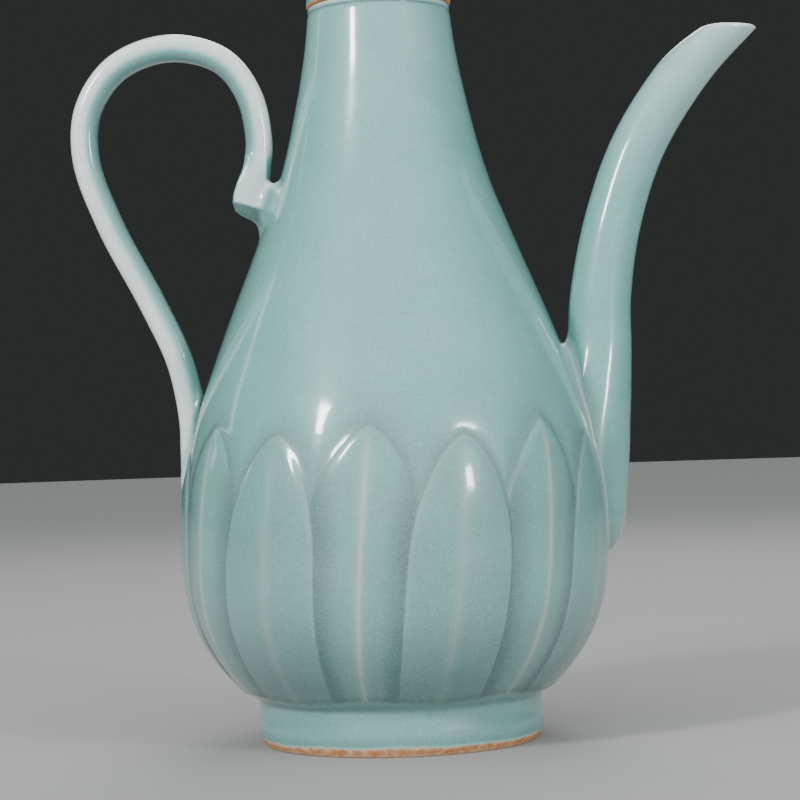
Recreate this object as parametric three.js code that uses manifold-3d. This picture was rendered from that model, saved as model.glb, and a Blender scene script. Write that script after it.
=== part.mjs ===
// Celadon ewer with a belly carved as two rows of lotus petals, a long spout, a looped handle
// and a cap lid. Millimetres, +Z up. The spout points along +X and the handle along -X.
import * as THREE from 'three';
import { mergeVertices } from 'three/addons/utils/BufferGeometryUtils.js';
import Module from 'manifold-3d';

const wasm = await Module();
wasm.setup();

// Foot ring
const footHeight = 12.9;
const footRadius = 46.5;
const footWall = 6.6;
const footChamfer = 1.6;
const footSwell = 0.5;

// Thrown body: the widest place, the throat where shoulder turns into neck, and the seat of the lid
const bellyRadius = 69.7;
const bellyHeight = 62.5;
const bellyFullBelow = 19.6;
const bellyFullAbove = 37.2;
const footLean = 50.6;
const footFull = 22.9;
const throatRadius = 36.8;
const throatHeight = 177.8;
const throatLean = 21.6;
const throatFullBelow = 76.2;
const throatFullAbove = 4;
const seatRadius = 23.3;
const seatHeight = 241.2;
const seatLean = 5.3;
const seatFull = 31.3;
const wall = 4.2;
const floorThickness = 5.5;
const beltHeight = 59.9;
const seamHeight = 108.5;

// Collar that the lid drops over, and the line cut round the neck below it
const collarRadius = 19.6;
const collarHeight = 11;
const collarWall = 3.6;
const collarBevel = 0.8;
const grooveDrop = 2.2;
const grooveDepth = 0.35;
const grooveWidth = 0.9;

// Carved petals: two rows that take turns round the belly. Angles are in degrees, from the side that
// faces -Y towards +X. Each petal leans a little, by so many degrees for each mm of height.
const petalCount = 7;
const petalPhase = 19.2;
const petalLean = 0.07;
const frontPetal = { tip: 99.5, reach: 40, halfAngle: 13.1, power: 0.62 };
const backPetal = { tip: 103.5, reach: 40, halfAngle: 15.5, power: 0.68 };
const petalFlare = 1;
const petalRim = 0.35;
const petalCrown = 0.6;
const petalRidge = 0.65;
const petalValley = 0.7;
const groundCut = 0.6;
const groundFade = 12;
const edgeWidth = 0.45;

// Holes through the belly wall that let the liquid into the spout
const pourHoleRadius = 3.2;
const pourHoleSpacing = 9.5;
const pourHoleHeight = 92;

// Spout centreline as [x, z, outer radius, radius sideways], from its root in the belly wall to past
// the cut tip
const spoutLine = [
  [60, 57, 8, 14], [60, 62, 12.6, 18.5], [60, 68.4, 15.3, 18.5], [60.2, 75, 16.1, 17.4],
  [63.6, 98, 14.9, 15.9], [66.6, 112, 12.8, 13.2], [69, 126, 10.9, 10.9], [70.2, 143, 10.1, 10.1],
  [75, 167.5, 9.4, 9.4], [84.8, 193.6, 8.9, 8.9], [102.6, 219.5, 8.4, 8.4], [121, 238, 8, 8],
];
const spoutWall = 2.6;
const spoutTipHeight = 231.2;

// Handle centreline as [x, z], from its heel beside the neck to the end that sinks into the belly
const handleLine = [
  [-42.4, 178], [-41.9, 187], [-40.9, 199], [-44, 214.2], [-52.6, 225.4], [-69.8, 230],
  [-87, 224.2], [-96.8, 210.8], [-98.2, 194.5], [-91, 172.5], [-77.6, 145.6], [-69, 125.5],
  [-65.6, 106], [-65.7, 96], [-65.5, 88], [-65, 80],
];
const handleThickness = 8.9;
const handleBreadth = 10.6;
const handleSquareness = 0.72;
const handleEndThin = 0.8;
const handleEndSpread = 0.15;
const handleEndStart = 0.8;

// Heel: the end of the rod, which kicks outward beside the neck and reaches across to it
const heelTop = 190.5;
const heelOutline = [
  [-45.3, 194], [-45.3, 190.5], [-46.6, 188], [-48.2, 184.6], [-49.5, 181], [-49.95, 177.8],
  [-49.2, 175.2], [-47.4, 173.8], [-44.6, 172.4], [-42.4, 170.9], [-40.5, 168], [-34, 166],
  [-30, 170], [-30, 184], [-35.2, 184.6], [-36.6, 183.4], [-38.3, 185.2], [-37.6, 188], [-37.2, 194],
];
const heelBreadth = 11.4;
const heelBevel = 1.6;

// Cap lid: a skirt round the collar, a low dome and a bud to lift it by
const lidClearance = 0.6;
const lidSkirtRadius = 23.9;
const lidSkirtHeight = 15;
const lidTaper = 1.4;
const lidShoulder = 1.5;
const lidRimBevel = 0.8;
const lidDomeHeight = 8.5;
const lidDomeWall = 3.6;
const lidHeadroom = 1.4;
const knobRadius = 6.6;
const knobHeight = 15;
const knobStemRadius = 3.8;
const knobBaseRadius = 5.2;

// Pieces that are luted together lie this far apart
const lutingGap = 0.3;

// Facets
const plainSides = 56;
const ringSides = 64;
const lidSides = 40;
const knobSides = 20;
const tubeSides = 20;
const boreSides = 12;
const groundColumns = 2;
const bowlRises = [0, 2.2, 6, 12, 19, 27, 37, 47];
const bellyRises = [0, 10, 18, 24, 29, 33, 36.5, 39.6, 42.5, 45.5, 48.6];
const neckRows = 13;
const liningRows = 7;
const spoutRows = 22;
const handleRows = 40;
const handleSides = 16;

const glaze = new THREE.MeshStandardMaterial({ color: 0x93b3ae, roughness: 0.18, metalness: 0 });
const footGlaze = new THREE.MeshStandardMaterial({ color: 0x8aa9a2, roughness: 0.22, metalness: 0 });
const lidGlaze = new THREE.MeshStandardMaterial({ color: 0x97b6b0, roughness: 0.2, metalness: 0 });

const point = (x, y) => new THREE.Vector2(x, y);

// A step of the given length from a point, leaning the given degrees inward from straight up
function leaned(from, lean, length) {
  const angle = THREE.MathUtils.degToRad(lean);
  return point(from.x - length * Math.sin(angle), from.y + length * Math.cos(angle));
}

// Outer wall as three curves that run into each other: foot to belly, belly to throat, throat to seat
const foot = point(footRadius - footSwell + 0.1, footHeight);
const belly = point(bellyRadius, bellyHeight);
const throat = point(throatRadius, throatHeight);
const seat = point(seatRadius, seatHeight);
const underBelly = point(bellyRadius, bellyHeight - bellyFullBelow);
const overBelly = point(bellyRadius, bellyHeight + bellyFullAbove);
const wallCurves = [
  [foot, leaned(foot, -footLean, footFull), underBelly, belly],
  [belly, overBelly, leaned(throat, throatLean, -throatFullBelow), throat],
  [throat, leaned(throat, throatLean, throatFullAbove), leaned(seat, seatLean, -seatFull), seat],
].map((points) => new THREE.CubicBezierCurve(...points));

// Radius of the plain outer wall at a height, by halving the curve that holds it
function wallRadius(height) {
  const curve = wallCurves.find((candidate) => height <= candidate.v3.y) ?? wallCurves[2];
  let low = 0;
  let high = 1;
  for (let step = 0; step < 30; step += 1) {
    const middle = (low + high) / 2;
    if (curve.getPoint(middle).y < height) low = middle;
    else high = middle;
  }
  return curve.getPoint(low).x;
}

function smooth(value) {
  const t = THREE.MathUtils.clamp(value, 0, 1);
  return t * t * (3 - 2 * t);
}

// Half angle that a petal spans at a height, 0 above its tip
function petalHalfAngle(petal, height) {
  const drop = petal.tip - height;
  if (drop <= 0) return 0;
  const toFullWidth = 1 - Math.min(drop / petal.reach, 1);
  const flare = petalFlare * smooth(drop / petal.tip);
  return (petal.halfAngle + flare) * Math.pow(1 - toFullWidth ** 2, petal.power);
}

const petalPitch = 360 / petalCount;

// Middle of the first front petal at a height
const petalCentre = (height) => petalPhase - petalLean * (frontPetal.tip - height);

// What the carving adds to the plain wall's radius
function petalRelief(angle, height) {
  const fromCentre = angle - petalCentre(height);
  const fromFront = Math.abs(fromCentre - petalPitch * Math.round(fromCentre / petalPitch));
  const fromBack = petalPitch / 2 - fromFront;
  const frontHalf = petalHalfAngle(frontPetal, height);
  const backHalf = petalHalfAngle(backPetal, height);
  if (fromFront < frontHalf) return petalRim + petalCrown * (1 - (fromFront / frontHalf) ** 2);
  if (fromBack < backHalf) {
    const across = fromBack / (petalPitch / 2 - frontHalf);
    return petalRidge * (1 - across) - petalValley * across ** 2;
  }
  const aboveValley = Math.max(height - frontPetal.tip + frontPetal.reach / 3, 0) / groundFade;
  return -groundCut * Math.exp(-(aboveValley ** 2)) * smooth((seamHeight - height) / 6);
}

// Angles from a front petal's middle to the next back petal's ridge, with a pair at each outline.
// Above the tips they spread out evenly.
function outlineAngles(height) {
  const edge = THREE.MathUtils.radToDeg(edgeWidth / wallRadius(height)) / 2;
  const front = Math.max(petalHalfAngle(frontPetal, height), 2 * edge);
  const back = Math.max(petalPitch / 2 - petalHalfAngle(backPetal, height), front + 4 * edge);
  const lastBack = Math.min(back, petalPitch / 2 - 3 * edge);
  const angles = [0, front / 2, front - edge, front + edge];
  for (let column = 1; column <= groundColumns; column += 1) {
    const share = column / (groundColumns + 1);
    angles.push(THREE.MathUtils.lerp(front + edge, lastBack - edge, share));
  }
  angles.push(lastBack - edge, lastBack + edge, (lastBack + petalPitch / 2) / 2, petalPitch / 2);
  const spread = smooth((height - frontPetal.tip) / (seamHeight - frontPetal.tip));
  const even = petalPitch / 2 / (angles.length - 1);
  return angles.map((angle, i) => THREE.MathUtils.lerp(angle, even * i, spread));
}

const columnsPerPetal = 2 * (outlineAngles(0).length - 1);
const petalSides = petalCount * columnsPerPetal;

// Angle of one of the wall's upright columns of points, which follow the petals' outlines
function columnAngle(column, height) {
  const steps = outlineAngles(height);
  const place = column % columnsPerPetal;
  const isFirstHalf = place < steps.length;
  const step = isFirstHalf ? steps[place] : petalPitch - steps[columnsPerPetal - place];
  return petalCentre(height) + Math.floor(column / columnsPerPetal) * petalPitch + step;
}

// Points of the outer wall between two heights, moved in by an inset
function wallPoints(from, to, rows, inset = 0) {
  const points = [];
  for (let row = 0; row <= rows; row += 1) {
    const height = THREE.MathUtils.lerp(from, to, row / rows);
    points.push(point(wallRadius(height) - inset, height));
  }
  return points;
}

// Points of the carved wall between two heights, at the given rises or scaled to them
function carvedPoints(from, to, rises) {
  return rises.map((rise) => {
    const height = THREE.MathUtils.lerp(from, to, rise / rises.at(-1));
    return point(wallRadius(height), height);
  });
}

const bowlPoints = carvedPoints(footHeight, beltHeight, bowlRises);
const bellyPoints = carvedPoints(beltHeight, seamHeight, bellyRises);

// Moves the outer points of a turned form to the petals' columns and relief
function carve(position, rows) {
  for (let i = 0; i < position.count; i += 1) {
    const radius = Math.hypot(position.getX(i), position.getY(i));
    const height = position.getZ(i);
    if (radius > wallRadius(height) - wall / 2) {
      const column = Math.floor(i / rows) % petalSides;
      const angle = columnAngle(column, height);
      const isCut = height > footHeight && height < seamHeight;
      const carved = radius + (isCut ? petalRelief(angle, height) : 0);
      const turn = THREE.MathUtils.degToRad(angle);
      position.setXY(i, carved * Math.sin(turn), -carved * Math.cos(turn));
    }
  }
}

// A closed surface as a solid, turned right side out
function toSolid(geometry) {
  const bare = geometry.clone();
  bare.deleteAttribute('normal');
  bare.deleteAttribute('uv');
  const merged = mergeVertices(bare, 1e-4);
  const vertProperties = merged.attributes.position.array;
  const triVerts = new Uint32Array(merged.index.array);
  const solid = new wasm.Manifold(new wasm.Mesh({ numProp: 3, vertProperties, triVerts }));
  if (solid.volume() > 0) return solid;
  triVerts.reverse();
  return new wasm.Manifold(new wasm.Mesh({ numProp: 3, vertProperties, triVerts }));
}

function toMesh(name, solid, material) {
  const { vertProperties, triVerts } = solid.getMesh();
  const geometry = new THREE.BufferGeometry();
  geometry.setAttribute('position', new THREE.BufferAttribute(vertProperties, 3));
  geometry.setIndex(new THREE.BufferAttribute(triVerts, 1));
  geometry.computeVertexNormals();
  const mesh = new THREE.Mesh(geometry, material);
  mesh.name = name;
  return mesh;
}

// A turned solid about Z from a closed profile of (radius, height)
function turned(profile, sides, shape) {
  const geometry = new THREE.LatheGeometry(profile, sides);
  geometry.rotateX(Math.PI / 2);
  if (shape) shape(geometry.attributes.position, profile.length);
  return toSolid(geometry);
}

// A swept solid along a line of [x, z]. section(t, angle) gives the offset [across, sideways]
function swept(line, rows, sides, section) {
  const curve = new THREE.CatmullRomCurve3(line.map(([x, z]) => new THREE.Vector3(x, 0, z)));
  const positions = [];
  for (let row = 0; row <= rows; row += 1) {
    const centre = curve.getPoint(row / rows);
    const tangent = curve.getTangent(row / rows);
    for (let side = 0; side < sides; side += 1) {
      const [across, sideways] = section(row / rows, (2 * Math.PI * side) / sides);
      positions.push(centre.x + across * tangent.z, sideways, centre.z - across * tangent.x);
    }
  }
  const index = [];
  for (let row = 0; row < rows; row += 1) {
    for (let side = 0; side < sides; side += 1) {
      const a = row * sides + side;
      const b = row * sides + ((side + 1) % sides);
      index.push(a, b, a + sides, b, b + sides, a + sides);
    }
  }
  const lastRing = rows * sides;
  for (let side = 1; side + 1 < sides; side += 1) {
    index.push(0, side + 1, side);
    index.push(lastRing, lastRing + side, lastRing + side + 1);
  }
  const geometry = new THREE.BufferGeometry();
  geometry.setAttribute('position', new THREE.Float32BufferAttribute(positions, 3));
  geometry.setIndex(index);
  return toSolid(geometry);
}

// The body's outer form, which the spout, handle and heel are fitted to with the luting gap
function bodyForm() {
  const neckPoints = wallPoints(seamHeight, seatHeight, neckRows).slice(1);
  const outline = [...bowlPoints, ...bellyPoints.slice(1), ...neckPoints];
  const grown = outline.map(({ x, y }) => point(x + lutingGap, y));
  return turned([point(0, footHeight), ...grown, point(0, seatHeight)], petalSides, carve);
}

function footRing() {
  const inner = footRadius - footWall;
  const profile = [
    point(inner, 0),
    point(footRadius - footChamfer, 0),
    point(footRadius - footSwell, footHeight * 0.18),
    point(footRadius + footSwell, footHeight * 0.42),
    point(footRadius - footSwell / 2, footHeight * 0.78),
    point(footRadius - footSwell, footHeight),
    point(inner - footSwell, footHeight),
    point(inner, 0),
  ];
  return turned(profile, ringSides);
}

// Three holes in a triangle through the wall behind the spout's root
function pourHoles() {
  const places = [
    [-pourHoleSpacing / 2, pourHoleHeight],
    [pourHoleSpacing / 2, pourHoleHeight],
    [0, pourHoleHeight - pourHoleSpacing * Math.cos(Math.PI / 6)],
  ];
  const holes = places.map(([y, z]) => {
    const geometry = new THREE.CylinderGeometry(pourHoleRadius, pourHoleRadius, 4 * wall, 12);
    geometry.rotateZ(Math.PI / 2);
    geometry.translate(wallRadius(z) - wall / 2, y, z);
    return toSolid(geometry);
  });
  return holes[0].add(holes[1]).add(holes[2]);
}

// A carved piece of the pot from its outer points, hollowed out above the floor
function carvedPiece(points) {
  const floorHeight = footHeight + floorThickness;
  const hollow = [
    point(0, floorHeight),
    point(footRadius - 2 * wall, floorHeight + 1),
    ...wallPoints(floorHeight + wall, seamHeight, liningRows, wall),
    point(wallRadius(seamHeight) - wall, seamHeight + 1),
    point(0, seamHeight + 1),
  ];
  const closed = [point(0, points[0].y), ...points, point(0, points.at(-1).y)];
  return turned(closed, petalSides, carve).subtract(turned(hollow, plainSides));
}

function lowerBowl() {
  return carvedPiece(bowlPoints);
}

function bellyWall() {
  return carvedPiece(bellyPoints).subtract(pourHoles());
}

function upperBody() {
  const collarTop = seatHeight + collarHeight;
  const boreRadius = collarRadius - collarWall;
  const grooveHeight = seatHeight - grooveDrop;
  const grooveRadius = wallRadius(grooveHeight);
  const profile = [
    ...wallPoints(seamHeight, grooveHeight - grooveWidth, neckRows),
    point(grooveRadius, grooveHeight - grooveWidth / 2),
    point(grooveRadius - grooveDepth, grooveHeight),
    point(grooveRadius, grooveHeight + grooveWidth / 2),
    seat,
    point(collarRadius, seatHeight),
    point(collarRadius, collarTop - collarBevel),
    point(collarRadius - collarBevel, collarTop),
    point(boreRadius + collarBevel, collarTop),
    point(boreRadius, collarTop - collarBevel),
    point(boreRadius, seatHeight - collarHeight),
    ...wallPoints(seamHeight, seatHeight - 2 * collarHeight, liningRows, wall).reverse(),
    point(wallRadius(seamHeight), seamHeight),
  ];
  return turned(profile, plainSides);
}

function spout() {
  const radii = new THREE.SplineCurve(spoutLine.map(([, , radius, sideways]) => point(radius, sideways)));
  const round = (inset) => (t, angle) => {
    const { x: radius, y: sideways } = radii.getPoint(t);
    return [(radius - inset) * Math.cos(angle), (sideways - inset) * Math.sin(angle)];
  };
  const outside = swept(spoutLine, spoutRows, tubeSides, round(0));
  const bore = swept(spoutLine, spoutRows, boreSides, round(spoutWall));
  const overTip = new THREE.BoxGeometry(4 * seatRadius, 2 * seatRadius, 2 * seatRadius);
  overTip.translate(spoutLine.at(-1)[0], 0, spoutTipHeight + seatRadius);
  return outside.subtract(bore).subtract(toSolid(overTip)).subtract(bodyForm());
}

// Rounded square of the rod, which thins and spreads where its end lies on the belly
function handleSection(t, angle) {
  const ending = smooth((t - handleEndStart) / (1 - handleEndStart));
  const squared = (value) => Math.sign(value) * Math.pow(Math.abs(value), handleSquareness);
  return [
    (handleThickness / 2) * (1 - (1 - handleEndThin) * ending) * squared(Math.cos(angle)),
    (handleBreadth / 2) * (1 + handleEndSpread * ending) * squared(Math.sin(angle)),
  ];
}

function heelBlock() {
  const outline = new THREE.Shape(heelOutline.map(([x, z]) => point(x, z)));
  const block = new THREE.ExtrudeGeometry(outline, {
    depth: heelBreadth - 2 * heelBevel,
    bevelSize: heelBevel,
    bevelThickness: heelBevel,
    bevelOffset: -heelBevel,
    bevelSegments: 2,
  });
  block.rotateX(Math.PI / 2);
  block.translate(0, heelBreadth / 2 - heelBevel, 0);
  return toSolid(block);
}

// A block below a level, which takes in the heel and the rod's first stretch
function below(level) {
  const block = new THREE.BoxGeometry(4 * heelBreadth, 4 * heelBreadth, 4 * heelBreadth);
  block.translate(handleLine[0][0] + 1.4 * heelBreadth, 0, level - 2 * heelBreadth);
  return toSolid(block);
}

function handle() {
  const rod = swept(handleLine, handleRows, handleSides, handleSection);
  return rod.subtract(below(heelTop + lutingGap)).subtract(bodyForm());
}

function handleHeel() {
  return heelBlock().intersect(below(heelTop)).subtract(bodyForm());
}

const lidShoulderHeight = seatHeight + lidSkirtHeight;
const lidTop = lidShoulderHeight + lidDomeHeight;

function lidCap() {
  const innerRadius = collarRadius + lidClearance;
  const domeRadius = lidSkirtRadius - lidTaper - lidShoulder;
  const ceiling = seatHeight + collarHeight + lidHeadroom;
  const rise = lidTop - lidDomeWall - ceiling;
  const profile = [
    point(innerRadius, seatHeight),
    point(lidSkirtRadius - lidRimBevel, seatHeight),
    point(lidSkirtRadius, seatHeight + lidRimBevel),
    point(lidSkirtRadius - lidTaper, lidShoulderHeight - lidShoulder),
  ];
  const outerSteps = 7;
  for (let step = 0; step < outerSteps; step += 1) {
    const angle = (Math.PI / 2) * (step / outerSteps);
    profile.push(point(
      knobBaseRadius + (domeRadius - knobBaseRadius) * Math.cos(angle),
      lidShoulderHeight + lidDomeHeight * Math.sin(angle),
    ));
  }
  profile.push(point(knobBaseRadius, lidTop), point(0, lidTop));
  const innerSteps = 5;
  for (let step = innerSteps; step >= 0; step -= 1) {
    const angle = (Math.PI / 2) * (step / innerSteps);
    profile.push(point(
      step === innerSteps ? 0 : (innerRadius - lidShoulder) * Math.cos(angle),
      ceiling + rise * Math.sin(angle),
    ));
  }
  profile.push(point(innerRadius, ceiling - lidShoulder), point(innerRadius, seatHeight));
  return turned(profile, lidSides);
}

function lidKnob() {
  const bud = new THREE.SplineCurve([
    point(knobBaseRadius - 0.2, 0),
    point(knobStemRadius, knobHeight * 0.14),
    point(knobRadius, knobHeight * 0.46),
    point(knobRadius * 0.84, knobHeight * 0.68),
    point(knobRadius * 0.36, knobHeight * 0.9),
    point(0, knobHeight),
  ]);
  const profile = [point(0, lidTop)];
  const steps = 14;
  for (let step = 0; step < steps; step += 1) {
    const place = bud.getPoint(step / steps);
    profile.push(point(place.x, lidTop + place.y));
  }
  profile.push(point(0, lidTop + knobHeight));
  return turned(profile, knobSides);
}

const pot = new THREE.Group();
pot.add(toMesh('foot_ring', footRing(), footGlaze));
pot.add(toMesh('lower_bowl', lowerBowl(), glaze));
pot.add(toMesh('belly_wall', bellyWall(), glaze));
pot.add(toMesh('upper_body', upperBody(), glaze));
pot.add(toMesh('spout', spout(), glaze));
pot.add(toMesh('handle', handle(), glaze));
pot.add(toMesh('handle_heel', handleHeel(), glaze));
pot.add(toMesh('lid_cap', lidCap(), lidGlaze));
pot.add(toMesh('lid_knob', lidKnob(), lidGlaze));

// The origin lies under the middle of the ewer, half way between the handle's bow and the spout's tip
const reach = new THREE.Box3().setFromObject(pot, true);
pot.position.x = -(reach.min.x + reach.max.x) / 2;

const ewer = new THREE.Group();
ewer.add(pot);
export default ewer;
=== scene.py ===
import math

import bpy
import numpy as np
from mathutils import Euler, Matrix, Vector


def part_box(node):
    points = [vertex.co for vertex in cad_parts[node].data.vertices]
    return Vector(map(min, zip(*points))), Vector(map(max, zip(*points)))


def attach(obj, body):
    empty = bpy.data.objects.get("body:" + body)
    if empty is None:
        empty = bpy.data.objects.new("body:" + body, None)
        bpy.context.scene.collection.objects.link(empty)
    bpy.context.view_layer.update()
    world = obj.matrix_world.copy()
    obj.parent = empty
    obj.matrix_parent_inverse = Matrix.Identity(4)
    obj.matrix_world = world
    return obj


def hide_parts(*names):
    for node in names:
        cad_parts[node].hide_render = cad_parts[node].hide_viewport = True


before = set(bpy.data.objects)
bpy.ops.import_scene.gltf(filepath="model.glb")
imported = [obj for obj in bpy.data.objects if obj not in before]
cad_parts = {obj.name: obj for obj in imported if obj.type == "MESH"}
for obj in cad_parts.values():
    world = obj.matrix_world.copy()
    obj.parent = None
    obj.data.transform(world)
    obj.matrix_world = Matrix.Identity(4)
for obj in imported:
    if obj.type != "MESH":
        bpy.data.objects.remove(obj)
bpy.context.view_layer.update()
mm = 0.001  # all the values below are in millimetres and degrees, made into metres here

footLow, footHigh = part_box("foot_ring")
axisX = (footLow.x + footHigh.x) / 2 / mm  # the turned body's own axis
footTop = footHigh.z / mm
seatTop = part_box("lid_cap")[0].z / mm
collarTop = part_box("upper_body")[1].z / mm
print("frame loaded, body axis at x", round(axisX, 2), "mm")


# Curves and grids

def bezier(points, steps):
    t = np.linspace(0, 1, steps)[:, None]
    a, b, c, d = (np.array(p, float) for p in points)
    return (1 - t) ** 3 * a + 3 * (1 - t) ** 2 * t * b + 3 * (1 - t) * t ** 2 * c + t ** 3 * d


def smooth(value):
    t = np.clip(value, 0, 1)
    return t * t * (3 - 2 * t)


def mix(first, second, share):
    return first + (second - first) * share


def within(inside, width):
    # From 0 outside an edge to 1 inside it, softened over a width
    return smooth(inside / width + 0.5)


def fullTurn(count):
    return np.linspace(0, 2 * math.pi, count, endpoint=False)


def peak(value, width):
    return np.exp(-(value / width) ** 2)


def unit(vectors):
    return vectors / np.maximum(np.linalg.norm(vectors, axis=-1, keepdims=True), 1e-9)


def catmullRom(points, places):
    # A curve through the points, with the square root of their distance as its spacing.
    # places run from 0 to 1 over all the points.
    points = np.array(points, float)
    padded = np.vstack([2 * points[0] - points[1], points, 2 * points[-1] - points[-2]])
    scaled = np.clip(np.asarray(places) * (len(points) - 1), 0, len(points) - 1 - 1e-9)
    index = scaled.astype(int)
    u = (scaled - index)[:, None]
    p0, p1, p2, p3 = (padded[index + k] for k in range(4))
    d0, d1, d2 = (np.maximum(np.linalg.norm(a[:, :2] - b[:, :2], axis=1) ** 0.5, 1e-6)[:, None]
                  for a, b in ((p0, p1), (p1, p2), (p2, p3)))
    m1 = ((p1 - p0) / d0 - (p2 - p0) / (d0 + d1) + (p2 - p1) / d1) * d1
    m2 = ((p2 - p1) / d1 - (p3 - p1) / (d1 + d2) + (p3 - p2) / d2) * d1
    return ((2 * u ** 3 - 3 * u ** 2 + 1) * p1 + (u ** 3 - 2 * u ** 2 + u) * m1
            + (3 * u ** 2 - 2 * u ** 3) * p2 + (u ** 3 - u ** 2) * m2)


def gridNormals(grid):
    # Outward normals of a grid of points that closes round its second axis
    around = np.roll(grid, -1, axis=1) - np.roll(grid, 1, axis=1)
    return unit(np.cross(around, np.gradient(grid, axis=0)))


def ringGrid(radius, turn, height):
    # Points on rings round the body's axis, at angles in radians
    return np.stack(np.broadcast_arrays(radius * np.cos(turn), radius * np.sin(turn), height), axis=-1)


def segmentDistance(places, start, end):
    # How far places in a plane lie from the straight line between two points
    along = end - start
    share = np.clip(((places - start) @ along) / (along @ along), 0, 1)
    away = places - start - share[..., None] * along
    return np.hypot(away[..., 0], away[..., 1])


def linkMesh(name, points, faces, material, attributes):
    # Points in mm from the body's axis become a mesh, and each attribute has a value for every point
    mesh = bpy.data.meshes.new(name)
    mesh.from_pydata(((points + [axisX, 0, 0]) * mm).tolist(), [], faces)
    mesh.polygons.foreach_set("use_smooth", [True] * len(mesh.polygons))
    for attribute, values in attributes.items():
        flat = np.asarray(values, float).reshape(-1)
        flat = np.concatenate([flat, np.full(len(points) - len(flat), flat.mean())])
        layer = mesh.attributes.new(attribute, "FLOAT", "POINT")
        layer.data.foreach_set("value", flat.astype(np.float32))
    mesh.materials.append(material)
    mesh.update()
    piece = bpy.data.objects.new(name, mesh)
    bpy.context.scene.collection.objects.link(piece)
    return piece


def makePiece(name, grid, material, closedLoop=False, capped=False, **attributes):
    # A mesh from a grid of points: rows along the form, columns round it
    points = grid.reshape(-1, 3)
    index = np.arange(len(points)).reshape(grid.shape[:2])
    beside = np.roll(index, -1, axis=1)
    quads = np.stack([index, beside, np.roll(beside, -1, axis=0), np.roll(index, -1, axis=0)], axis=-1)
    faces = quads[:None if closedLoop else -1].reshape(-1, 4).tolist()
    for ring, order in ((0, -1), (-1, 1)) if capped else ():
        pairs = zip(index[ring].tolist(), beside[ring].tolist())
        faces += [[*pair[::order], len(points)] for pair in pairs]
        points = np.vstack([points, grid[ring].mean(0)])
    return linkMesh(name, points, faces, material, attributes)


# Glaze and clay

glazeLook = {
    "thin": (0.76, 0.84, 0.82),      # over rims, where the pale clay shows through
    "pale": (0.335, 0.54, 0.505),
    "body": (0.168, 0.43, 0.398),
    "thick": (0.165, 0.315, 0.30),
    "deep": (0.075, 0.155, 0.148),   # where it pools
    "ridge": (0.46, 0.53, 0.48),     # where the carving leaves a crest
    "clay": (0.46, 0.215, 0.095),
    "clayPale": (0.62, 0.43, 0.28),
    "clayDark": (0.36, 0.15, 0.06),
    "mottleSize": 60,                # noise scales per metre
    "bubbleSize": 1900,
    "rippleSize": 210,
    "grainSize": 420,
    "mottle": 0.16,                  # how strongly clouds and bubbles change the glaze's depth
    "speckle": 1.0,
    "ripple": 0.10,
    "rippleDepth": 0.0004,           # in metres
    "roughness": (0.24, 0.34),
    "clayRoughness": 0.85,
    "coatRoughness": 0.09,
}
plainDepth = 0.44  # the glaze's depth on a plain wall, between thin at 0 and deep at 1
glazeStops = ((0, "thin"), (0.26, "pale"), (plainDepth, "body"), (0.58, "thick"), (1, "deep"))
clayStops = ((0.3, "clayDark"), (0.5, "clay"), (0.72, "clayPale"))


def addNode(tree, kind, values=None, **inputs):
    node = tree.nodes.new(kind)
    for key, value in (values or {}).items():
        setattr(node, key, value)
    for key, value in inputs.items():
        socket = node.inputs[int(key[1:])] if key[0] == "i" and key[1:].isdigit() else node.inputs[key]
        if isinstance(value, bpy.types.NodeSocket):
            tree.links.new(value, socket)
        else:
            socket.default_value = value
    return node


def mathNode(tree, operation, *values):
    inputs = {f"i{k}": value for k, value in enumerate(values)}
    return addNode(tree, "ShaderNodeMath", {"operation": operation}, **inputs).outputs[0]


def attributeNode(tree, name):
    return addNode(tree, "ShaderNodeAttribute", {"attribute_name": name}).outputs["Fac"]


def noiseNode(tree, place, scale, detail, roughness=0.5):
    return addNode(tree, "ShaderNodeTexNoise", Vector=place, Scale=scale, Detail=detail,
                   Roughness=roughness).outputs["Fac"]


def mixColours(tree, share, first, second):
    return addNode(tree, "ShaderNodeMix", {"data_type": "RGBA"}, i0=share, i6=first, i7=second).outputs[2]


def rgba(colour):
    return (*colour, 1)


def rampNode(tree, value, look, stops):
    ramp = addNode(tree, "ShaderNodeValToRGB", i0=value)
    elements = ramp.color_ramp.elements
    elements.remove(elements[-1])
    for k, (position, key) in enumerate(stops):
        stop = elements.new(position) if k else elements[0]
        stop.position, stop.color = position, rgba(look[key])
    return ramp.outputs["Color"]


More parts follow.
